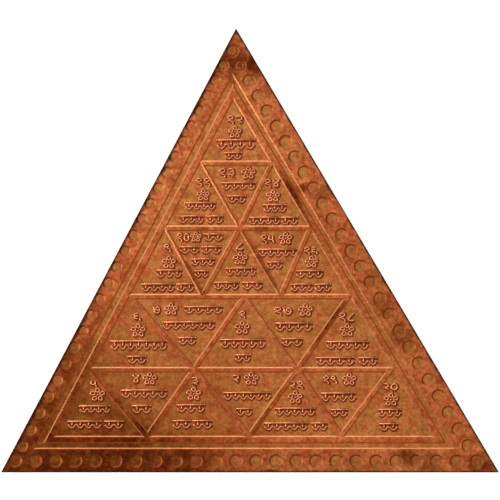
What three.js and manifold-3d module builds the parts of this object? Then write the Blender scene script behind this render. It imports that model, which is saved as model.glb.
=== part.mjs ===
// A mangal yantra: a triangular copper plate with a field of 21 triangular cells and a border of round dimples.
// Millimetres. The plate lies on its plain back at z = 0, its worked face is up, and its apex points along +Y.
// The origin is the middle of the plate's bounding box, on the back face.
import * as THREE from "three";
import { mergeVertices } from "three/addons/utils/BufferGeometryUtils.js";
import Module from "manifold-3d";

const wasm = await Module();
wasm.setup();

// The plate's outline. It was sheared by hand, so its apex isn't over the middle of its base.
const plateWidth = 149.4;
const plateHeight = 133.2;
const apexFromLeft = 70.5;

// The metal. The ground is the face at the bottom of the relief, and the raised metal stands on it.
const groundThickness = 1.0;
const reliefHeight = 0.3;
const wallRun = 0.4; // how far a relief wall leans over its height
const dimpleRun = 0.55; // and a dimple's wall, which is softer
const rollRun = 0.35; // how far in from the cut the shears rolled the edge down
const rollDrop = 0.15; // and how far down

// From each cut edge inwards. The cut wandered and the lines were drawn by eye, so the three sides differ.
const borderWidth = { left: 5.45, bottom: 7.2, right: 7.92 };
const channelWidth = { left: 1.8, bottom: 1.7, right: 1.45 }; // the sunk line round the field
const frameWidth = { left: 2.0, bottom: 1.9, right: 2.05 }; // the raised line round the cells

// The four bars across the field, as shares of the plate's height from its bottom edge to the bars' middles.
const barShares = [0.6962, 0.55, 0.396, 0.2313];
const barWidth = 1.3;
// The slanting bars, row by row from the second: those that rise to the right, and those that fall to it.
const slantBars = [
  { rise: 1.2, fall: 0.62 },
  { rise: 1.4, fall: 0.7 },
  { rise: 1.4, fall: 1.2 },
  { rise: 1.45, fall: 1.8 },
];
// How far each junction strays to the right of an even spacing, line by line. They were set out by hand.
const upperStrays = [[0.76, 0], [0.15, 0.6, 0], [0, -0.1, 1.15, 0]];
const lowerStrays = [[0.7, 1.37, -0.7], [0.35, 0.7, 1.3, -0.9], [0, -0.7, 1.4, 0.65, 0]];

// The dimples. Each run goes along an edge, from so far past its first corner to so far short of its last.
// The spacing grows by a small share of itself at each step, as the eye let it drift.
const dimpleSides = 24;
const leftRun = { count: 25, start: 11.5, end: 9.9, growth: 0.0043, inset: [1.85, 1.85], radius: 1.55 };
const rightRun = { count: 25, start: 10.25, end: 11.6, growth: 0.0047, inset: [4.65, 3.85], radius: 1.8 };
const bottomRun = { count: 24, start: 4.2, end: 6.7, growth: 0, inset: [3.55, 3.3], radius: 1.85 };
const apexDimple = { down: 6.9, aside: -1.0, radius: 1.8 }; // the odd one in the apex

const cutOver = 0.5; // how far a cutting tool passes the face that it opens
const straightWithin = 0.001; // a vertex nearer than this to a straight edge is dropped

const groundTop = groundThickness;
const reliefTop = groundThickness + reliefHeight;

const apex = new THREE.Vector2(apexFromLeft - plateWidth / 2, plateHeight / 2);
const leftCorner = new THREE.Vector2(-plateWidth / 2, -plateHeight / 2);
const rightCorner = new THREE.Vector2(plateWidth / 2, -plateHeight / 2);
// Anticlockwise, so that the inside is on the left of each side: left edge, bottom edge, right edge.
const outline = [apex, leftCorner, rightCorner];

const groundCopper = new THREE.MeshStandardMaterial({ color: 0xa86a36, roughness: 0.5, metalness: 0.9 });
const raisedCopper = new THREE.MeshStandardMaterial({ color: 0xb75f35, roughness: 0.4, metalness: 0.9 });

// The point where the line through a and b meets the line through c and d.
function crossing(a, b, c, d) {
  const first = b.clone().sub(a);
  const second = d.clone().sub(c);
  const along = c.clone().sub(a).cross(second) / first.cross(second);
  return a.clone().addScaledVector(first, along);
}

// A triangle with each side moved inwards by its own distance. Side i runs from corner i to the next.
function insetTriangle(corners, distances) {
  const sides = corners.map((from, i) => {
    const to = corners[(i + 1) % corners.length];
    const along = to.clone().sub(from).normalize();
    const inward = new THREE.Vector2(-along.y, along.x).multiplyScalar(distances[i]);
    return [from.clone().add(inward), to.clone().add(inward)];
  });
  return sides.map((side, i) => {
    const before = sides[(i + sides.length - 1) % sides.length];
    return crossing(before[0], before[1], side[0], side[1]);
  });
}

function plateInset({ left, bottom, right }) {
  return insetTriangle(outline, [left, bottom, right]);
}

// The widths of several bands together, side by side, and so much more.
function stacked(bands, more = 0) {
  const sum = (side) => bands.reduce((total, band) => total + band[side], more);
  return { left: sum("left"), bottom: sum("bottom"), right: sum("right") };
}

// A closed solid through outlines with as many corners, from the lowest level to the highest.
function loft(...levels) {
  const count = levels[0].corners.length;
  const points = levels.flatMap(({ corners, z }) => corners.flatMap((p) => [p.x, p.y, z]));
  const top = (levels.length - 1) * count;
  const faces = [];
  for (let i = 1; i < count - 1; i++) {
    faces.push(0, i + 1, i);
    faces.push(top, top + i, top + i + 1);
  }
  for (let base = 0; base < top; base += count) {
    for (let i = 0; i < count; i++) {
      const next = (i + 1) % count;
      faces.push(base + i, base + next, base + count + next);
      faces.push(base + i, base + count + next, base + count + i);
    }
  }
  const geometry = new THREE.BufferGeometry();
  geometry.setAttribute("position", new THREE.Float32BufferAttribute(points, 3));
  geometry.setIndex(faces);
  return solidOf(geometry);
}

function solidOf(geometry) {
  geometry.deleteAttribute("normal");
  geometry.deleteAttribute("uv");
  const merged = mergeVertices(geometry, 1e-4);
  return new wasm.Manifold(
    new wasm.Mesh({
      numProp: 3,
      vertProperties: new Float32Array(merged.attributes.position.array),
      triVerts: new Uint32Array(merged.index.array),
    }),
  );
}

function namedMesh(name, solid, material) {
  const { numProp, vertProperties, triVerts } = solid.asOriginal().simplify(straightWithin).getMesh();
  const positions = new Float32Array((vertProperties.length / numProp) * 3);
  for (let i = 0; i < positions.length / 3; i++) {
    positions.set(vertProperties.subarray(i * numProp, i * numProp + 3), i * 3);
  }
  const indexed = new THREE.BufferGeometry();
  indexed.setAttribute("position", new THREE.BufferAttribute(positions, 3));
  indexed.setIndex(new THREE.BufferAttribute(new Uint32Array(triVerts), 1));
  const geometry = indexed.toNonIndexed();
  geometry.computeVertexNormals();
  const mesh = new THREE.Mesh(geometry, material);
  mesh.name = name;
  return mesh;
}

// How far a wall has leant at height z, from half its run at the ground to minus half at the top.
function lean(run, z) {
  return run * (0.5 - (z - groundTop) / reliefHeight);
}

// A tool that opens a triangle through the raised metal: narrow at the ground and wide at the top.
function triangleCutter(corners, distances) {
  const zHigh = reliefTop + cutOver;
  const at = (z) => ({ corners: insetTriangle(corners, distances.map((d) => d + lean(wallRun, z))), z });
  return loft(at(groundTop), at(zHigh));
}

// The dimples' centres along one edge of the plate.
function runCentres(from, to, { count, start, end, growth, inset }) {
  const along = to.clone().sub(from).normalize();
  const across = new THREE.Vector2(-along.y, along.x);
  const middle = outline.reduce((sum, corner) => sum.add(corner), new THREE.Vector2()).divideScalar(3);
  const inward = across.dot(middle.sub(from)) > 0 ? across : across.negate();
  const steps = (i) => i + (growth * i * (i - 1)) / 2;
  const length = from.distanceTo(to) - start - end;
  return Array.from({ length: count }, (_, i) => {
    const share = steps(i) / steps(count - 1);
    return from
      .clone()
      .addScaledVector(along, start + share * length)
      .addScaledVector(inward, THREE.MathUtils.lerp(inset[0], inset[1], share));
  });
}

function dimpleCutter(centre, radius) {
  const depth = reliefHeight + cutOver;
  const wide = radius - lean(dimpleRun, groundTop + depth);
  const narrow = radius - lean(dimpleRun, groundTop);
  const tool = new THREE.CylinderGeometry(wide, narrow, depth, dimpleSides);
  tool.rotateX(Math.PI / 2);
  tool.translate(centre.x, centre.y, groundTop + depth / 2);
  return solidOf(tool);
}

function runOfDimples(from, to, run) {
  return runCentres(from, to, run).map((centre) => dimpleCutter(centre, run.radius));
}

function copperGround() {
  return loft({ corners: outline, z: 0 }, { corners: outline, z: groundTop });
}

function dimpledBorder() {
  const block = loft(
    { corners: outline, z: groundTop },
    { corners: outline, z: reliefTop - rollDrop },
    { corners: plateInset(stacked([], rollRun)), z: reliefTop },
  );
  const apexCentre = new THREE.Vector2(apex.x + apexDimple.aside, apex.y - apexDimple.down);
  const cutters = [
    triangleCutter(plateInset(borderWidth), [0, 0, 0]),
    dimpleCutter(apexCentre, apexDimple.radius),
    ...runOfDimples(apex, leftCorner, leftRun),
    ...runOfDimples(apex, rightCorner, rightRun),
    ...runOfDimples(leftCorner, rightCorner, bottomRun),
  ];
  return block.subtract(wasm.Manifold.union(cutters));
}

// Junctions spaced along a level line between the frame's two sloping sides, each moved by its stray.
function junctions(inner, height, strays) {
  const y = height - plateHeight / 2;
  const left = new THREE.Vector2(leftCorner.x, y);
  const right = new THREE.Vector2(rightCorner.x, y);
  const start = crossing(left, right, inner[0], inner[1]);
  const end = crossing(left, right, inner[0], inner[2]);
  return strays.map((stray, i) => {
    const point = start.clone().lerp(end, i / (strays.length - 1));
    point.x += stray;
    return point;
  });
}

// The cells between two lines of junctions, the lower with one more: point-up cells with point-down ones between.
// The outermost cells' slanting sides are the frame's own, drawn from the field's apex.
function rowOfCells(upper, lower, { rise, fall }, footInset, inner) {
  const last = upper.length - 1;
  const cells = upper.map((top, i) => {
    const [left, right] = [lower[i], lower[i + 1]];
    const leftSide = i === 0 ? [inner[0], inner[1]] : [top, left];
    const rightSide = i === last ? [inner[0], inner[2]] : [top, right];
    const corners = [
      crossing(...leftSide, ...rightSide),
      crossing(...leftSide, left, right),
      crossing(...rightSide, left, right),
    ];
    return { corners, insets: [i === 0 ? 0 : rise / 2, footInset, i === last ? 0 : fall / 2] };
  });
  for (let i = 0; i < last; i++) {
    cells.push({ corners: [upper[i], lower[i + 1], upper[i + 1]], insets: [fall / 2, rise / 2, barWidth / 2] });
  }
  return cells;
}

function cellLattice() {
  const outer = [borderWidth, channelWidth];
  const block = loft(
    { corners: plateInset(stacked(outer, -wallRun / 2)), z: groundTop },
    { corners: plateInset(stacked(outer, wallRun / 2)), z: reliefTop },
  );
  const field = stacked([...outer, frameWidth]);
  const inner = plateInset(field);
  const [first, second, third, fourth] = barShares.map((share) => share * plateHeight);
  const upper = [[inner[0]], ...[first, second, third].map((y, i) => junctions(inner, y, upperStrays[i]))];
  const lower = [third, fourth, field.bottom].map((y, i) => junctions(inner, y, lowerStrays[i]));
  const half = barWidth / 2;
  const noBars = { rise: 0, fall: 0 }; // the first row is one cell between the frame's own sides
  const cells = [
    ...rowOfCells(upper[0], upper[1], noBars, half, inner),
    ...rowOfCells(upper[1], upper[2], slantBars[0], half, inner),
    ...rowOfCells(upper[2], upper[3], slantBars[1], half, inner),
    ...rowOfCells(lower[0], lower[1], slantBars[2], half, inner),
    ...rowOfCells(lower[1], lower[2], slantBars[3], 0, inner),
  ];
  return block.subtract(wasm.Manifold.union(cells.map((c) => triangleCutter(c.corners, c.insets))));
}

const yantra = new THREE.Group();
yantra.name = "mangal_yantra";
yantra.add(
  namedMesh("copper_ground", copperGround(), groundCopper),
  namedMesh("dimpled_border", dimpledBorder(), raisedCopper),
  namedMesh("cell_lattice", cellLattice(), raisedCopper),
);

export default yantra;
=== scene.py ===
import math
import bpy
import bmesh
from mathutils import Matrix, Vector


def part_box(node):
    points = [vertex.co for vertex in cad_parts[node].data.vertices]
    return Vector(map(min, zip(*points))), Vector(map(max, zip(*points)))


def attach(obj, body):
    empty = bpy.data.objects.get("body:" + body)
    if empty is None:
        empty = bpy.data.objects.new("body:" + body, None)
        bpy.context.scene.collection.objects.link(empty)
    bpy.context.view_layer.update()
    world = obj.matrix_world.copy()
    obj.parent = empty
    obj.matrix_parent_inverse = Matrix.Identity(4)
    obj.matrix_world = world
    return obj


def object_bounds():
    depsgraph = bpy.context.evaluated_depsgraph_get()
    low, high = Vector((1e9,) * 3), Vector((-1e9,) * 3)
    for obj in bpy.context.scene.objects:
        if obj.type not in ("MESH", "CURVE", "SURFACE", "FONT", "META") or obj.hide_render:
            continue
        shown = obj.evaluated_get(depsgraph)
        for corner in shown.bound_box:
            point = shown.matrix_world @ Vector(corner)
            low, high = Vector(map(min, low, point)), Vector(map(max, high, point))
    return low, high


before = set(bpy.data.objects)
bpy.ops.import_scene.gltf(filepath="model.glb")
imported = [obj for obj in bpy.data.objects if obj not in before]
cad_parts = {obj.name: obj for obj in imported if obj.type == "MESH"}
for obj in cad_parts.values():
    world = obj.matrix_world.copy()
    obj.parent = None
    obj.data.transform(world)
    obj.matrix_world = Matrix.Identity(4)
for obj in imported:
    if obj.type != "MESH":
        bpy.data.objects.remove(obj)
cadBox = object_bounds()
print("frame loaded")

# the plate is this many photo px wide, which gives a px in metres, and its middle is at middlePx
plateWidthPx = 498
pixel = (cadBox[1][0] - cadBox[0][0]) / plateWidthPx
middlePx = (249.8, 250.0)
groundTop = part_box("copper_ground")[1].z
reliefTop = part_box("cell_lattice")[1].z


def onPlate(px, py):
    return (px - middlePx[0]) * pixel, (middlePx[1] - py) * pixel


# node trees: the small helpers that every finish is built with, each node set out in rows as it is added
nodeRows = {"each": 24, "across": 200, "down": 240}


def addNode(tree, kind, settings=None, **values):
    node = tree.nodes.new(kind)
    row, column = divmod(len(tree.nodes), nodeRows["each"])
    node.location = (column * nodeRows["across"], -row * nodeRows["down"])
    for key, value in (settings or {}).items():
        setattr(node, key, value)
    for key, value in values.items():
        node.inputs[key.replace("_", " ")].default_value = value
    return node


def plug(tree, socket, value):
    if isinstance(value, bpy.types.NodeSocket):
        tree.links.new(value, socket)
    else:
        socket.default_value = value


def mixColour(tree, factor, first, second, blend="MIX"):
    node = addNode(tree, "ShaderNodeMix", {"data_type": "RGBA", "blend_type": blend})
    plug(tree, node.inputs[0], factor)
    plug(tree, node.inputs[6], first)
    plug(tree, node.inputs[7], second)
    return node.outputs[2]


def mixValue(tree, factor, first, second):
    node = addNode(tree, "ShaderNodeMix", {"data_type": "FLOAT"})
    plug(tree, node.inputs[0], factor)
    plug(tree, node.inputs[2], first)
    plug(tree, node.inputs[3], second)
    return node.outputs[0]


def maths(tree, operation, first, second):
    node = addNode(tree, "ShaderNodeMath", {"operation": operation})
    plug(tree, node.inputs[0], first)
    plug(tree, node.inputs[1], second)
    return node.outputs[0]


def vectorMaths(tree, operation, first, second, third=None):
    node = addNode(tree, "ShaderNodeVectorMath", {"operation": operation})
    plug(tree, node.inputs[0], first)
    plug(tree, node.inputs["Scale" if operation == "SCALE" else 1], second)
    if third is not None:
        plug(tree, node.inputs[2], third)
    return node.outputs["Value" if operation in ("DOT_PRODUCT", "DISTANCE") else "Vector"]


def heightOf(tree, vector):
    node = addNode(tree, "ShaderNodeSeparateXYZ")
    tree.links.new(vector, node.inputs[0])
    return node.outputs["Z"]


# a smooth step from one value to another while the source goes from low to high
def spread(tree, source, low, high, outLow=0.0, outHigh=1.0):
    node = addNode(tree, "ShaderNodeMapRange", {"interpolation_type": "SMOOTHSTEP"})
    for name, value in (("From Min", low), ("From Max", high), ("To Min", outLow), ("To Max", outHigh)):
        node.inputs[name].default_value = value
    tree.links.new(source, node.inputs["Value"])
    return node.outputs["Result"]


# scale is in cycles to the metre, and the values lie round noiseMiddle
noiseMiddle = 0.5


def noise(tree, place, scale, detail, rough=0.55, twist=0.0, output="Fac"):
    node = addNode(tree, "ShaderNodeTexNoise", Scale=scale, Detail=detail, Roughness=rough, Distortion=twist)
    tree.links.new(place, node.inputs["Vector"])
    return node.outputs[output]


# where the metal is darker: tarnish, and painted shade along the bars
tarnishAndShade = {
    # round spots: photo px of the middle, radius in px, depth
    "spots": [
        # under the apex
        (236, 60, 17, 0.9), (252, 62, 12, 0.8), (257, 72, 11, 0.5), (217, 70, 13, 0.6), (233, 78, 9, 0.5),
        (236, 40, 14, 0.35), (226, 56, 10, 0.5), (266, 88, 12, 0.3),
        # the lower left corner and along the bottom
        (120, 462, 70, 0.95), (60, 464, 50, 0.85), (185, 466, 42, 0.7), (24, 462, 34, 0.6),
        (10, 464, 18, 0.6), (24, 440, 16, 0.35), (150, 430, 110, 0.22), (240, 455, 36, 0.25),
        (302, 468, 34, 0.2), (230, 440, 90, 0.05),
        # up the left side
        (48, 420, 42, 0.52), (80, 401, 22, 0.4), (78, 362, 34, 0.5), (104, 312, 26, 0.28),
        (124, 268, 18, 0.22), (135, 228, 10, 0.15), (70, 400, 90, 0.28),
        # down the right side
        (277, 106, 10, 0.2), (300, 186, 9, 0.6), (320, 193, 13, 0.25), (371, 277, 12, 0.2),
        (386, 306, 13, 0.35), (402, 334, 16, 0.5), (436, 372, 12, 0.35), (343, 240, 52, 0.08),
        (379, 300, 54, 0.12), (446, 425, 54, 0.12),
        # the lower right corner
        (352, 467, 30, 0.2), (381, 467, 14, 0.2), (406, 456, 14, 0.6), (428, 468, 22, 0.4),
        (462, 466, 16, 0.3), (475, 441, 12, 0.2), (484, 466, 18, 0.6),
        # along the bars: painted shade
        (252, 247, 6, 0.4), (259, 259, 6, 0.4), (266, 271, 5, 0.4), (273, 284, 5, 0.35), (180, 262, 5, 0.3),
        (190, 277, 6, 0.35), (107, 388, 6, 0.35), (118, 401, 6, 0.4), (130, 415, 6, 0.4), (142, 429, 7, 0.4),
        # at and near the places where bars meet
        (329, 325, 9, 0.2), (310, 361, 10, 0.22), (272, 292, 9, 0.2), (311, 229, 9, 0.2), (368, 294, 9, 0.2),
        (259, 428, 10, 0.2), (203, 295, 9, 0.25), (262, 228, 8, 0.5), (202, 230, 9, 0.35), (256, 129, 9, 0.2),
        (296, 197, 9, 0.2), (383, 391, 14, 0.2),
    ],
    # painted shade in dark streaks along the bars: photo px of both ends, half the width in px, depth
    "streaks": [
        (281.0, 171.5, 299.5, 206.0, 3.7, 0.45), (285.5, 180.0, 294.5, 196.5, 3.8, 0.55),
        (297.5, 202.3, 309.3, 224.3, 3.2, 0.4), (258.5, 256.6, 275.2, 285.4, 3.0, 0.6),
        (243.7, 231.0, 258.5, 256.6, 3.0, 0.25), (185.5, 263.0, 202.2, 291.8, 3.0, 0.65),
        (344.0, 302.3, 318.0, 339.7, 3.2, 0.4), (338.0, 311.0, 326.5, 327.5, 3.4, 0.4),
        (322.3, 333.5, 303.1, 361.1, 3.0, 0.2), (289.3, 381.6, 268.5, 410.0, 2.8, 0.3),
        (268.5, 410.0, 253.0, 433.0, 2.8, 0.55),
    ],
    # where the fading starts and ends, in radii
    "spotFade": (0.25, 1.15), "streakFade": (0.4, 1.2),
    # noise moves the spots about by up to half of wander, in metres
    "wander": 0.008, "wanderScale": 180, "wanderDetail": 4, "wanderRough": 0.65,
}
# a painted shadow, a thin dark sheet beside the strokes: how much wider it is than they are, its thickness in
# metres, and how many px it lies to the right and down
paintedShadow = {"wider": 0.7, "height": 0.00003, "right": 0.4, "down": 0.5}
# painted light: the copper is painted brighter towards the top left, where the lamps are: the way there, and
# the shades at two distances along it
paintedLightGradient = {"way": (-0.6, 0.8, 0), "reach": (-0.035, 0.045), "shades": (0.96, 1.08)}
# the dark along the cut edge: the distances in from the edge where it starts to fade and has gone, how dark
# it is, how much wider it is on the left, the bottom and the right, and how far noise moves it
rim = {
    "fade": (0.0002, 0.00075), "depth": 0.84, "widths": (1.6, 1.0, 0.95),
    "wander": 0.0014, "wanderScale": 300, "wanderDetail": 3, "wanderRough": 0.6,
}


# the apex, the lower left and the lower right
def plateCorners():
    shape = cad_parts["copper_ground"].data
    low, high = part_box("copper_ground")
    top = max(shape.vertices, key=lambda v: v.co.y).co
    return [(top.x, high.y), (low.x, low.y), (high.x, low.y)]


def edgeDistance(tree, place):
    corners = plateCorners()
    nearest = None
    for k, widening in enumerate(rim["widths"]):
        (x0, y0), (x1, y1) = corners[k], corners[(k + 1) % 3]
        length = math.hypot(x1 - x0, y1 - y0)
        inwards = ((y0 - y1) / length, (x1 - x0) / length, 0)
        gap = vectorMaths(tree, "DOT_PRODUCT", place, inwards)
        gap = maths(tree, "SUBTRACT", gap, inwards[0] * x0 + inwards[1] * y0)
        gap = maths(tree, "DIVIDE", gap, widening)
        nearest = gap if nearest is None else maths(tree, "MINIMUM", nearest, gap)
    ragged = noise(tree, place, rim["wanderScale"], rim["wanderDetail"], rim["wanderRough"])
    ragged = maths(tree, "MULTIPLY", maths(tree, "SUBTRACT", ragged, noiseMiddle), rim["wander"])
    return maths(tree, "ADD", nearest, ragged)


def streakDistance(tree, place, start, end):
    length = math.hypot(end[0] - start[0], end[1] - start[1])
    way = ((end[0] - start[0]) / length, (end[1] - start[1]) / length, 0)
    offset = vectorMaths(tree, "SUBTRACT", place, (*start, reliefTop))
    along = maths(tree, "MAXIMUM", vectorMaths(tree, "DOT_PRODUCT", offset, way), 0.0)
    along = maths(tree, "MINIMUM", along, length)
    return vectorMaths(tree, "DISTANCE", offset, vectorMaths(tree, "SCALE", way, along))


# 0 on clean metal, towards 1 on black: tarnish, and painted shade along the bars
def tarnishAndShadeDepth(tree, place):
    detail, rough = tarnishAndShade["wanderDetail"], tarnishAndShade["wanderRough"]
    warp = noise(tree, place, tarnishAndShade["wanderScale"], detail, rough, output="Color")
    shift = vectorMaths(tree, "SUBTRACT", warp, (noiseMiddle, noiseMiddle, noiseMiddle))
    wandered = vectorMaths(tree, "MULTIPLY_ADD", shift, (tarnishAndShade["wander"], tarnishAndShade["wander"], 0), place)
    patches = []
    for px, py, radius, depth in tarnishAndShade["spots"]:
        far = vectorMaths(tree, "DISTANCE", wandered, (*onPlate(px, py), reliefTop))
        patches.append((far, radius, tarnishAndShade["spotFade"], depth))
    for ax, ay, bx, by, radius, depth in tarnishAndShade["streaks"]:
        far = streakDistance(tree, place, onPlate(ax, ay), onPlate(bx, by))
        patches.append((far, radius, tarnishAndShade["streakFade"], depth))
    clean = None
    for far, radius, (fadeFrom, fadeTo), depth in patches:
        kept = spread(tree, far, fadeFrom * radius * pixel, fadeTo * radius * pixel, 1 - depth, 1.0)
        clean = kept if clean is None else maths(tree, "MULTIPLY", clean, kept)
    return maths(tree, "SUBTRACT", 1.0, clean)


# the metal's own patterns: each noise's detail, roughness and twist, and the range of its values that counts
metal = {
    "drift": {"detail": 2, "range": (0.38, 0.62)},
    "fleck": {"detail": 3, "rough": 0.6, "twist": 0.4, "red": (0.50, 0.66), "gold": (0.34, 0.50)},
}


# broad drifts of golden metal, then red and golden flecks a millimetre or two across
def metalColour(tree, place, look):
    drift = noise(tree, place, look["driftScale"], metal["drift"]["detail"])
    colour = mixColour(tree, spread(tree, drift, *metal["drift"]["range"]), look["main"], look["golden"])
    kind = metal["fleck"]
    fleck = noise(tree, place, look["fleckScale"], kind["detail"], kind["rough"], kind["twist"])
    colour = mixColour(tree, spread(tree, fleck, *kind["red"], 0.0, look["flecks"]), colour, look["red"])
    return mixColour(tree, spread(tree, fleck, *kind["gold"], look["flecks"], 0.0), colour, look["olive"])


# the relief's walls, told from the flats by how far up they face: the bars' are steep and the dimples' gentle
walls = {
    "sloping": (0.835, 0.935), "gentle": (0.83, 0.86),
    "paintedLightWay": (-0.643, 0.766, 0), "paintedLightRange": (-0.2, 0.2),  # walls that face this way, towards the lamps, are painted lit, and walls that face away are painted shaded
    "bare": 0.8,  # how much of the mottled shade, the tarnish and the painted shade is taken off a wall, where the tarnish is rubbed off
}


def wallMasks(tree):
    normal = addNode(tree, "ShaderNodeNewGeometry").outputs["True Normal"]
    upwards = heightOf(tree, normal)
    wall = spread(tree, upwards, *walls["sloping"], 1.0, 0.0)
    gentle = spread(tree, upwards, *walls["gentle"])
    # painted light: how far a wall faces the lamps
    facing = vectorMaths(tree, "DOT_PRODUCT", normal, walls["paintedLightWay"])
    return wall, gentle, spread(tree, facing, *walls["paintedLightRange"])


# painted highlight on the walls that face the lamps and painted shade on those that face away, on the bars
# and in the dimples
def paintedWallColour(tree, look, gentle, paintedLitSide):
    paintedShaded = mixColour(tree, gentle, look["paintedShaded"], look["dimplePaintedShaded"])
    paintedLit = mixColour(tree, gentle, look["paintedLit"], look["dimplePaintedLit"])
    return mixColour(tree, paintedLitSide, paintedShaded, paintedLit)


# the noise that breaks up the tarnish and painted shade, the shares of it that low and high noise leave, and
# the most there is
tarnishAndShadeGrain = {
    "scale": 420, "detail": 4, "rough": 0.65, "range": (0.3, 0.62), "share": (0.72, 1.15), "most": 0.95,
}


def tarnishAndShadeOver(tree, place, look, bare):
    grain = noise(tree, place, tarnishAndShadeGrain["scale"], tarnishAndShadeGrain["detail"], tarnishAndShadeGrain["rough"])
    share = spread(tree, grain, *tarnishAndShadeGrain["range"], *tarnishAndShadeGrain["share"])
    depth = maths(tree, "MULTIPLY", tarnishAndShadeDepth(tree, place), share)
    depth = maths(tree, "MULTIPLY", depth, look["tarnishAndShade"])
    depth = maths(tree, "MULTIPLY", depth, maths(tree, "SUBTRACT", 1.0, bare))
    # painted shadow: the thin sheet beside the strokes is darkened up to its top
    if look.get("paintedShadowDepth"):
        paintedShadowTop = groundTop + paintedShadow["height"]
        paintedShadowDepth = spread(tree, heightOf(tree, place), groundTop, paintedShadowTop, 0.0, look["paintedShadowDepth"])
        depth = maths(tree, "ADD", depth, paintedShadowDepth)
    return maths(tree, "MINIMUM", depth, tarnishAndShadeGrain["most"])


# fine mottling and broader clouds, and how much faster green and blue darken than red, as copper does
shades = {
    "mottle": {"scale": 900, "detail": 4, "rough": 0.7, "range": (0.3, 0.7)},
    "cloud": {"scale": 330, "detail": 3, "rough": 0.6, "range": (0.34, 0.66)},
    "powers": (1.0, 1.3, 1.9),
}


def mottleNoise(tree, place, kind):
    return noise(tree, place, shades[kind]["scale"], shades[kind]["detail"], shades[kind]["rough"])


def shadeColour(tree, place, look, mottle, depth, bare):
    shade = spread(tree, mottle, *shades["mottle"]["range"], 1 - look["mottling"], 1 + look["mottling"])
    cloud = mottleNoise(tree, place, "cloud")
    clouded = spread(tree, cloud, *shades["cloud"]["range"], 1 - look["clouds"], 1 + look["clouds"])
    shade = maths(tree, "MULTIPLY", shade, clouded)
    # painted light, brighter towards the top left
    along = vectorMaths(tree, "DOT_PRODUCT", place, paintedLightGradient["way"])
    shade = maths(tree, "MULTIPLY", shade, spread(tree, along, *paintedLightGradient["reach"], *paintedLightGradient["shades"]))
    shade = mixValue(tree, bare, shade, 1.0)
    # darker with tarnish and painted shade
    darkening = maths(tree, "MULTIPLY", depth, 1 - look["darkest"])
    shade = maths(tree, "MULTIPLY", shade, maths(tree, "SUBTRACT", 1.0, darkening))
    colour = addNode(tree, "ShaderNodeCombineColor")
    for k, power in enumerate(shades["powers"]):
        tree.links.new(maths(tree, "POWER", shade, power), colour.inputs[k])
    return colour.outputs[0]


# how far mottling moves the roughness, what the dimples' walls add to it, what full tarnish and painted shade
# add to it, and what they take from the metallic share
sheen = {"mottled": (-0.05, 0.07), "dimples": 0.16, "tarnishedAndShaded": 0.18, "metalLost": 0.2, "specular": 0.05}


def surfaceRoughness(tree, look, mottle, dimpled, depth):
    least, most = sheen["mottled"]
    rough = spread(tree, mottle, *shades["mottle"]["range"], look["rough"] + least, look["rough"] + most)
    rough = maths(tree, "ADD", rough, maths(tree, "MULTIPLY", dimpled, sheen["dimples"]))
    return maths(tree, "ADD", rough, maths(tree, "MULTIPLY", depth, sheen["tarnishedAndShaded"]))


# uneven rolled metal, then dents a millimetre across, then grain, with heights in metres
bumps = {
    "swell": {"scale": 150, "detail": 2, "rough": 0.55, "height": 0.0005},
    "dents": {"scale": 620, "detail": 3, "rough": 0.6, "height": 0.00022},
    "grain": {"scale": 2400, "detail": 3, "rough": 0.7, "height": 0.00005},
}


def surfaceBumps(tree, place, look):
    normal = None
    for name, bump in bumps.items():
        node = addNode(tree, "ShaderNodeBump", Strength=look[name], Distance=bump["height"])
        height = noise(tree, place, bump["scale"], bump["detail"], bump["rough"])
        tree.links.new(height, node.inputs["Height"])
        if normal:
            tree.links.new(normal, node.inputs["Normal"])
        normal = node.outputs["Normal"]
    return normal


def copperFinish(name, look):
    material = bpy.data.materials.new(name)
    material.use_nodes = True
    tree = material.node_tree
    place = addNode(tree, "ShaderNodeTexCoord").outputs["Object"]
    wall, gentle, paintedLitSide = wallMasks(tree)
    bare = maths(tree, "MULTIPLY", wall, walls["bare"])
    depth = tarnishAndShadeOver(tree, place, look, bare)
    mottle = mottleNoise(tree, place, "mottle")

    # the walls take their painted lit and shaded colours
    colour = mixColour(tree, wall, metalColour(tree, place, look), paintedWallColour(tree, look, gentle, paintedLitSide))
    shade = shadeColour(tree, place, look, mottle, depth, bare)
    colour = mixColour(tree, 1.0, colour, shade, "MULTIPLY")
    edge = spread(tree, edgeDistance(tree, place), *rim["fade"], rim["depth"], 0.0)
    colour = mixColour(tree, edge, colour, look["edge"])

    dimpled = maths(tree, "MULTIPLY", wall, gentle)
    metalLost = maths(tree, "MULTIPLY", depth, sheen["metalLost"])
    shader = tree.nodes["Principled BSDF"]
    plug(tree, shader.inputs["Base Color"], colour)
    plug(tree, shader.inputs["Roughness"], surfaceRoughness(tree, look, mottle, dimpled, depth))
    plug(tree, shader.inputs["Metallic"], maths(tree, "SUBTRACT", look["metal"], metalLost))
    plug(tree, shader.inputs["Specular IOR Level"], sheen["specular"])
    plug(tree, shader.inputs["Normal"], surfaceBumps(tree, place, look))
    shader.location = ((nodeRows["each"] + 1) * nodeRows["across"], 0)
    tree.nodes["Material Output"].location = ((nodeRows["each"] + 3) * nodeRows["across"], 0)
    return material


# the walls' colours, painted lit where they face the lamps and painted shaded where they face away, on the
# bars and in the dimples, and the cut edge's
wallLook = {
    "paintedLit": (0.51, 0.200, 0.082, 1), "paintedShaded": (0.60, 0.125, 0.026, 1),
    "dimplePaintedLit": (0.40, 0.138, 0.046, 1), "dimplePaintedShaded": (0.31, 0.062, 0.014, 1), "edge": (0.022, 0.006, 0.002, 1),
}
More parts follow.
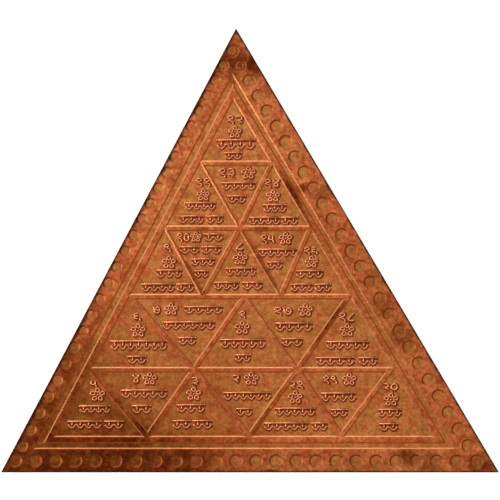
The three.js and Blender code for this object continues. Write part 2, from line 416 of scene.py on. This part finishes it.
# olive brown at the bottom of the relief
groundLook = {
    **wallLook, "main": (0.44, 0.130, 0.035, 1), "golden": (0.46, 0.156, 0.040, 1),
    "red": (0.44, 0.094, 0.026, 1), "olive": (0.42, 0.165, 0.033, 1),
    "driftScale": 45, "fleckScale": 380, "flecks": 0.8, "mottling": 0.28, "clouds": 0.12, "darkest": 0.2,
    "tarnishAndShade": 0.75, "rough": 0.42, "metal": 0.9, "swell": 0.5, "dents": 0.22, "grain": 0.2,
}
# redder, and darker with tarnish and painted shade, where the metal stands up
raisedLook = {
    **wallLook, "main": (0.46, 0.106, 0.031, 1), "golden": (0.49, 0.138, 0.040, 1),
    "red": (0.42, 0.076, 0.022, 1), "olive": (0.45, 0.130, 0.032, 1),
    "driftScale": 38, "fleckScale": 300, "flecks": 0.8, "mottling": 0.34, "clouds": 0.18, "darkest": 0.2,
    "tarnishAndShade": 1.0, "rough": 0.40, "metal": 0.9, "swell": 0.5, "dents": 0.25, "grain": 0.2,
}
# the thin strokes in the cells, their walls painted lit and shaded, and the painted shadow beside them
strokeLook = {
    **raisedLook, "paintedLit": (0.92, 0.44, 0.21, 1), "paintedShaded": (0.52, 0.09, 0.013, 1),
    "tarnishAndShade": 0.45, "flecks": 0.4, "mottling": 0.1,
}
paintedShadowLook = {
    **groundLook, "main": (0.44, 0.100, 0.014, 1), "golden": (0.44, 0.110, 0.016, 1), "paintedShadowDepth": 0.06,
}
groundCopper = copperFinish("groundCopper", groundLook)
raisedCopper = copperFinish("raisedCopper", raisedLook)
strokeCopper = copperFinish("strokeCopper", strokeLook)
paintedShadowCopper = copperFinish("paintedShadowCopper", paintedShadowLook)

plateFinishes = {"copper_ground": groundCopper, "dimpled_border": raisedCopper, "cell_lattice": raisedCopper}
for nodeName, finish in plateFinishes.items():
    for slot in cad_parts[nodeName].material_slots:
        slot.material = finish
print("copper finishes on the plate")

# raised lines, swept as pointed ridges that stand in the ground, none higher than the relief, in metres
ridge = {"halfWidth": 0.00030, "height": 0.000225, "steps": 3, "mergeGap": 1e-6}


def sweptShape(name, strokes, height, wider=0.0, shift=(0, 0)):
    curve = bpy.data.curves.new(name, "CURVE")
    curve.dimensions = "3D"
    curve.bevel_depth = ridge["halfWidth"]
    curve.bevel_resolution = 0  # a square on its corner, so each ridge comes to a point
    curve.resolution_u = ridge["steps"]
    curve.use_fill_caps = True
    for stroke in strokes:
        points = stroke["points"]
        spline = curve.splines.new("BEZIER")
        spline.bezier_points.add(len(points) - 1)
        for bend, (px, py), width in zip(spline.bezier_points, points, stroke["widths"]):
            bend.co = (*onPlate(px + shift[0], py + shift[1]), 0)
            bend.handle_left_type = bend.handle_right_type = "AUTO" if len(points) > 2 else "VECTOR"
            bend.radius = width + wider
        spline.use_cyclic_u = stroke.get("closed", False)
    holder = bpy.data.objects.new(name, curve)
    bpy.context.scene.collection.objects.link(holder)
    bpy.context.view_layer.update()
    shape = bpy.data.meshes.new_from_object(holder.evaluated_get(bpy.context.evaluated_depsgraph_get()))
    bpy.data.objects.remove(holder)
    shape.transform(Matrix.Diagonal((1, 1, height / curve.bevel_depth, 1)))
    shape.transform(Matrix.Translation((0, 0, groundTop)))
    return shape


# the strokes as one piece, and under them, if wanted, the thin dark sheet beside them that is a painted
# shadow
def sweptRidges(name, strokes, finish, shadowFinish=None):
    shape = sweptShape(name, strokes, ridge["height"])
    work = bmesh.new()
    work.from_mesh(shape)
    for vertex in work.verts:
        vertex.co.z = min(vertex.co.z, reliefTop)
    if shadowFinish:
        # painted shadow: a low dark sheet, wider than the strokes and set off to the right and down
        shadowSheet = sweptShape(name, strokes, paintedShadow["height"] / 2, paintedShadow["wider"], (paintedShadow["right"], paintedShadow["down"]))
        for face in shadowSheet.polygons:
            face.material_index = 1
        work.from_mesh(shadowSheet)
    bmesh.ops.remove_doubles(work, verts=work.verts, dist=ridge["mergeGap"])
    bmesh.ops.recalc_face_normals(work, faces=work.faces)
    work.to_mesh(shape)
    work.free()
    shape.name = name
    shape.materials.clear()
    shape.materials.append(finish)
    if shadowFinish:
        shape.materials.append(shadowFinish)
    piece = bpy.data.objects.new(name, shape)
    bpy.context.scene.collection.objects.link(piece)
    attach(piece, "root")
    return piece


# every cell's number, rosette and vines, in photo px. number: text, left, right, top, bottom
# rosette: middle x, middle y, half its size. vines: left, right, height of the bar, drop
cells = [
    {"number": ("12", 227.2, 242.0, 116.0, 122.8), "rosette": (234.8, 131.6, 5.6),
     "vines": [(216.9, 254.6, 139.6, 9.0), (224.7, 241.3, 152.2, 6.5)]},
    {"number": ("11", 196.5, 209.3, 178.3, 185.0), "rosette": (203.2, 194.6, 5.6),
     "vines": [(185.3, 215.0, 202.4, 6.8), (179.2, 203.2, 215.7, 7.0), (206.2, 222.6, 215.7, 7.0)]},
    {"number": ("13", 219.5, 233.5, 168.8, 176.0), "rosette": (248.4, 172.4, 6.0),
     "vines": [(222.0, 255.0, 182.3, 6.6), (227.7, 245.3, 195.6, 6.6)]},
    {"number": ("14", 264.7, 278.5, 179.3, 186.2), "rosette": (273.0, 195.6, 5.8),
     "vines": [(263.7, 285.6, 204.5, 6.8), (249.4, 279.5, 217.0, 7.0), (281.6, 297.3, 217.0, 7.0)]},
    {"number": ("9", 164.4, 170.2, 244.0, 251.0), "rosette": (168.8, 262.0, 6.0),
     "vines": [(156.7, 181.2, 269.8, 7.0), (141.9, 174.1, 283.7, 7.2), (177.1, 193.5, 283.7, 7.2)]},
    {"number": ("10", 177.7, 188.4, 233.4, 240.6), "rosette": (195.8, 236.6, 4.8),
     "vines": [(204.2, 222.6, 233.7, 6.6), (180.2, 198.6, 246.4, 6.6), (201.6, 220.5, 246.4, 6.6),
                 (191.4, 213.9, 258.6, 6.2), (195.0, 207.8, 270.6, 6.0)]},
    {"number": ("8", 236.4, 243.0, 242.6, 249.0), "rosette": (240.2, 258.0, 6.2),
     "vines": [(226.1, 255.5, 267.8, 7.0), (214.3, 238.3, 282.0, 6.8), (242.4, 262.0, 282.0, 6.8)]},
    {"number": ("15", 261.6, 273.6, 235.4, 242.4), "rosette": (285.6, 238.0, 5.8),
     "vines": [(259.0, 297.0, 249.0, 6.8), (267.2, 282.0, 261.7, 6.6)]},
    {"number": ("16", 304.4, 317.0, 247.0, 253.6), "rosette": (311.4, 261.6, 5.6),
     "vines": [(296.3, 322.6, 270.4, 6.8), (291.2, 312.7, 283.9, 7.0), (315.2, 330.4, 283.9, 7.0)]},
    {"number": ("6", 134.2, 140.6, 313.3, 320.4), "rosette": (138.0, 330.2, 6.4),
     "vines": [(110.8, 166.3, 340.7, 8.6), (128.3, 145.4, 356.0, 7.0)]},
    {"number": ("7", 153.8, 159.4, 306.3, 313.0), "rosette": (171.0, 308.8, 5.8),
     "vines": [(184.6, 221.8, 306.3, 6.8), (162.8, 214.3, 321.7, 7.0), (178.8, 195.4, 337.3, 6.8)]},
    {"number": ("1", 239.6, 244.8, 311.3, 317.6), "rosette": (242.2, 327.4, 6.4),
     "vines": [(220.8, 265.0, 339.2, 8.2), (235.0, 250.0, 354.6, 6.6)]},
    {"number": ("17", 274.6, 290.4, 307.5, 314.2), "rosette": (305.4, 309.8, 6.2),
     "vines": [(275.8, 311.7, 322.8, 7.8), (281.7, 302.0, 338.4, 7.2)]},
    {"number": ("18", 339.4, 353.8, 313.0, 320.6), "rosette": (347.0, 329.8, 6.2),
     "vines": [(327.0, 368.0, 341.3, 7.2), (316.3, 353.8, 357.3, 7.2), (359.2, 376.8, 357.3, 7.2)]},
    {"number": ("5", 90.8, 96.8, 380.6, 387.0), "rosette": (97.4, 394.4, 6.4),
     "vines": [(79.6, 110.0, 405.6, 6.6), (67.9, 100.8, 421.0, 7.0), (104.6, 122.8, 421.0, 7.0)]},
    {"number": ("4", 133.0, 138.8, 374.4, 382.0), "rosette": (149.6, 378.4, 6.0),
     "vines": [(121.6, 166.4, 389.8, 7.6), (132.5, 150.6, 405.3, 7.4)]},
    {"number": ("3", 191.3, 197.4, 377.6, 384.6), "rosette": (193.6, 393.6, 6.4),
     "vines": [(177.0, 204.2, 404.6, 7.0), (172.9, 190.0, 420.4, 7.6), (193.3, 211.6, 420.4, 7.6)]},
    {"number": ("2", 233.0, 239.0, 375.2, 382.0), "rosette": (251.2, 378.4, 6.2),
     "vines": [(224.0, 270.4, 392.3, 7.0), (236.7, 251.8, 408.3, 6.8)]},
    {"number": ("21", 290.2, 302.0, 381.6, 388.2), "rosette": (295.2, 397.0, 6.2),
     "vines": [(275.4, 314.6, 408.0, 7.0), (264.2, 307.0, 422.7, 7.0), (311.7, 326.6, 422.7, 7.0)]},
    {"number": ("19", 323.8, 336.0, 376.0, 383.0), "rosette": (349.2, 379.0, 6.0),
     "vines": [(321.6, 355.6, 392.8, 8.0), (331.3, 346.8, 409.3, 6.6)]},
    {"number": ("20", 383.4, 396.8, 383.6, 389.6), "rosette": (391.0, 399.4, 6.2),
     "vines": [(378.3, 400.8, 409.2, 6.8), (379.6, 397.6, 423.5, 6.6)]},
]

# the numbers: plain numerals in hand-cut strokes. line is their width against a ridge's, gap the px between
# two digits, and grow how much larger they are than their box
numeral = {"line": 1.1, "gap": 1.5, "grow": 1.15}
# each digit's strokes, in a box one wide and one high from its top left
digitPaths = {
    "0": [[(0.5, 0.08), (0.92, 0.5), (0.5, 0.92), (0.08, 0.5), (0.5, 0.08)]],
    "1": [[(0.40, 0.30), (0.12, 0.22), (0.45, 0.05), (0.88, 0.20), (0.60, 0.42), (0.18, 0.54)],
          [(0.18, 0.54), (0.60, 0.70), (0.92, 0.85), (0.82, 1.0)]],
    "2": [[(0.05, 0.10), (0.45, 0.05), (0.85, 0.28), (0.70, 0.48), (0.35, 0.58), (0.2, 0.58)],
          [(0.40, 0.60), (0.92, 0.97)]],
    "3": [[(0.05, 0.10), (0.5, 0.04), (0.85, 0.17), (0.65, 0.33), (0.35, 0.37)],
          [(0.65, 0.36), (0.93, 0.52), (0.65, 0.69), (0.2, 0.69)], [(0.5, 0.70), (0.9, 0.96)]],
    "4": [[(0.10, 0.03), (0.14, 0.2), (0.5, 0.48), (0.80, 0.74), (0.5, 0.92),
           (0.20, 0.74), (0.5, 0.48), (0.86, 0.2), (0.90, 0.03)]],
    "5": [[(0.2, 0.03), (0.08, 0.35), (0.25, 0.56), (0.6, 0.56)], [(0.72, 0.03), (0.72, 0.5), (0.95, 0.97)]],
    "6": [[(0.65, 0.05), (0.2, 0.08), (0.12, 0.25), (0.62, 0.35)],
          [(0.6, 0.35), (0.2, 0.42), (0.18, 0.62), (0.60, 0.70)], [(0.75, 0.60), (0.95, 0.97)]],
    "7": [[(0.08, 0.05), (0.2, 0.55), (0.55, 0.92), (0.92, 0.55), (0.85, 0.22),
           (0.6, 0.12), (0.38, 0.3), (0.48, 0.5), (0.75, 0.52)]],
    "8": [[(0.85, 0.04), (0.3, 0.5), (0.12, 0.75), (0.5, 0.93), (0.95, 0.83)]],
    "9": [[(0.4, 0.08), (0.66, 0.25), (0.4, 0.42), (0.12, 0.25), (0.4, 0.08)],
          [(0.14, 0.32), (0.3, 0.46), (0.9, 0.75), (0.92, 0.98)]],
}


def numberStrokes(text, left, right, top, bottom):
    width, height = (right - left) * numeral["grow"], (bottom - top) * numeral["grow"]
    x0, y0 = (left + right - width) / 2, (top + bottom - height) / 2
    each = (width - numeral["gap"] * (len(text) - 1)) / len(text)
    strokes = []
    for place, digit in enumerate(text):
        start = x0 + place * (each + numeral["gap"])
        for path in digitPaths[digit]:
            closed = path[0] == path[-1]
            points = [(start + x * each, y0 + y * height) for x, y in (path[:-1] if closed else path)]
            strokes.append({"points": points, "widths": [numeral["line"]] * len(points), "closed": closed})
    return strokes


strokes = [stroke for cell in cells for stroke in numberStrokes(*cell["number"])]
sweptRidges("cell_numbers", strokes, strokeCopper, paintedShadowCopper)
print("numbers in", len(cells), "cells")

# beads, which the rosettes and the vines share: how far one reaches to each side, in px, and how thin it ends
bead = {"reach": 1.1, "tip": 0.35}


def beadStroke(x, y, width):
    tip = bead["tip"] * width
    return {"points": [(x - bead["reach"], y), (x, y), (x + bead["reach"], y)], "widths": [tip, width, tip]}


# the rosette of each cell: a bead with petals round it, each a closed loop from inner to outer, in half sizes
rosette = {
    "petals": 5, "inner": 0.42, "outer": 1.12, "half": 0.30,
    "line": 0.95, "bead": 1.4, "turn": 0.25, "squash": 0.9,
}


def rosetteStrokes(cx, cy, size):
    inner, outer, half = rosette["inner"], rosette["outer"], rosette["half"]
    middle = (inner + outer) / 2
    petal = [(inner, 0), (middle, half), (outer, 0), (middle, -half)]
    strokes = [beadStroke(cx, cy, rosette["bead"])]
    for k in range(rosette["petals"]):
        angle = math.tau * (k + rosette["turn"]) / rosette["petals"]
        along = (math.cos(angle), -math.sin(angle))
        points = []
        for u, v in petal:
            x, y = u * along[0] - v * along[1], u * along[1] + v * along[0]
            points.append((cx + size * x, cy + size * y * rosette["squash"]))
        strokes.append({"points": points, "widths": [rosette["line"]] * len(points), "closed": True})
    return strokes


strokes = [stroke for cell in cells for stroke in rosetteStrokes(*cell["rosette"])]
sweptRidges("cell_rosettes", strokes, strokeCopper, paintedShadowCopper)
print("rosettes in", len(cells), "cells")

# the vines: a bar with a bead at each end, and under it a wavy stem with a bud from the bar in each low bend.
# pitch is in px, high, low and bud are shares of the drop, and the rest are widths against a ridge's
vine = {
    "pitch": 8.4, "high": 0.46, "low": 0.97, "bud": 0.66,
    "line": 0.95, "budWidths": (0.6, 1.1), "bar": 1.2, "bead": 1.5,
}


def vineStrokes(left, right, top, drop):
    bends = max(2, round((right - left) / vine["pitch"]))
    step = (right - left) / (2 * bends)
    wave = [(left + k * step, top + vine["low" if k % 2 else "high"] * drop) for k in range(2 * bends + 1)]
    strokes = [
        {"points": [(left, top), (right, top)], "widths": [vine["bar"]] * 2},
        beadStroke(left, top, vine["bead"]),
        beadStroke(right, top, vine["bead"]),
        {"points": wave, "widths": [vine["line"]] * len(wave)},
    ]
    for x, _ in wave[1::2]:
        strokes.append({"points": [(x, top), (x, top + vine["bud"] * drop)], "widths": vine["budWidths"]})
    return strokes


strokes = [stroke for cell in cells for row in cell["vines"] for stroke in vineStrokes(*row)]
sweptRidges("cell_vines", strokes, strokeCopper, paintedShadowCopper)
print("vines", len(strokes), "strokes")

# the rings struck inside the dimples next to the apex: middle x, middle y and radius, in photo px
dimpleRings = {
    "places": [(232.3, 50.9, 3.2), (223.2, 64.8, 2.8), (239.8, 65.3, 3.4), (250.2, 82.0, 3.2)],
    "width": 0.75, "corners": 8,
}


def ringStroke(cx, cy, radius):
    turns = [math.tau * k / dimpleRings["corners"] for k in range(dimpleRings["corners"])]
    points = [(cx + radius * math.cos(turn), cy + radius * math.sin(turn)) for turn in turns]
    return {"points": points, "widths": [dimpleRings["width"]] * len(points), "closed": True}


sweptRidges("dimple_rings", [ringStroke(*ring) for ring in dimpleRings["places"]], raisedCopper)
print("dimple rings", len(dimpleRings["places"]))

# the floor glows a little, so that it comes out white
floorLook = {
    "size": 3.0, "colour": (0.93, 0.93, 0.93, 1), "rough": 0.8, "glowColour": (1, 1, 1, 1), "glow": 0.5,
}


def makeFloor():
    shape = bpy.data.meshes.new("floor")
    work = bmesh.new()
    bmesh.ops.create_grid(work, x_segments=1, y_segments=1, size=floorLook["size"] / 2)
    work.to_mesh(shape)
    work.free()
    paint = bpy.data.materials.new("floorPaint")
    paint.use_nodes = True
    sockets = paint.node_tree.nodes["Principled BSDF"].inputs
    sockets["Base Color"].default_value = floorLook["colour"]
    sockets["Roughness"].default_value = floorLook["rough"]
    sockets["Emission Color"].default_value = floorLook["glowColour"]
    sockets["Emission Strength"].default_value = floorLook["glow"]
    shape.materials.append(paint)
    floor = bpy.data.objects.new("floor", shape)
    bpy.context.scene.collection.objects.link(floor)


makeFloor()

# low lamps far off towards the top and the left rake the relief, and a softbox lights the flats from overhead
lamps = [
    {"name": "topLight", "from": (-0.21, 1.75, 0.60), "size": (0.96, 0.48), "power": 9.0},
    {"name": "cornerLight", "from": (-0.92, 0.60, 0.33), "size": (0.4, 0.3), "power": 1.35},
    {"name": "leftLight", "from": (-0.68, -0.108, 0.20), "size": (0.26, 0.16), "power": 2.5},
    {"name": "softbox", "from": (0.0, 0.0, 1.3), "size": (1.6, 1.6), "power": 5.6},
]
for lamp in lamps:
    light = bpy.data.lights.new(lamp["name"], "AREA")
    light.shape = "RECTANGLE"
    light.size, light.size_y = lamp["size"]
    light.energy = lamp["power"]
    holder = bpy.data.objects.new(lamp["name"], light)
    holder.location = lamp["from"]
    holder.rotation_euler = (-Vector(lamp["from"])).to_track_quat("-Z", "Y").to_euler()
    bpy.context.scene.collection.objects.link(holder)

studio = {"colour": (1, 1, 1, 1), "strength": 0.44}
world = bpy.data.worlds.new("studio")
world.use_nodes = True
world.node_tree.nodes["Background"].inputs["Color"].default_value = studio["colour"]
world.node_tree.nodes["Background"].inputs["Strength"].default_value = studio["strength"]
bpy.context.scene.world = world
bpy.context.scene.view_settings.view_transform = "Standard"

# straight down from far off, over a width of 500 photo px. The lens and the sensor are in mm
view = {"lens": 200, "sensor": 36, "widthPx": 500, "lift": 0.00012}
cameraData = bpy.data.cameras.new("photoCamera")
cameraData.lens = view["lens"]
cameraData.sensor_width = view["sensor"]
camera = bpy.data.objects.new("photoCamera", cameraData)
distance = view["widthPx"] * pixel * view["lens"] / view["sensor"]
camera.location = (0.0, view["lift"], reliefTop + distance)
bpy.context.scene.collection.objects.link(camera)
bpy.context.scene.camera = camera
print("stage set")
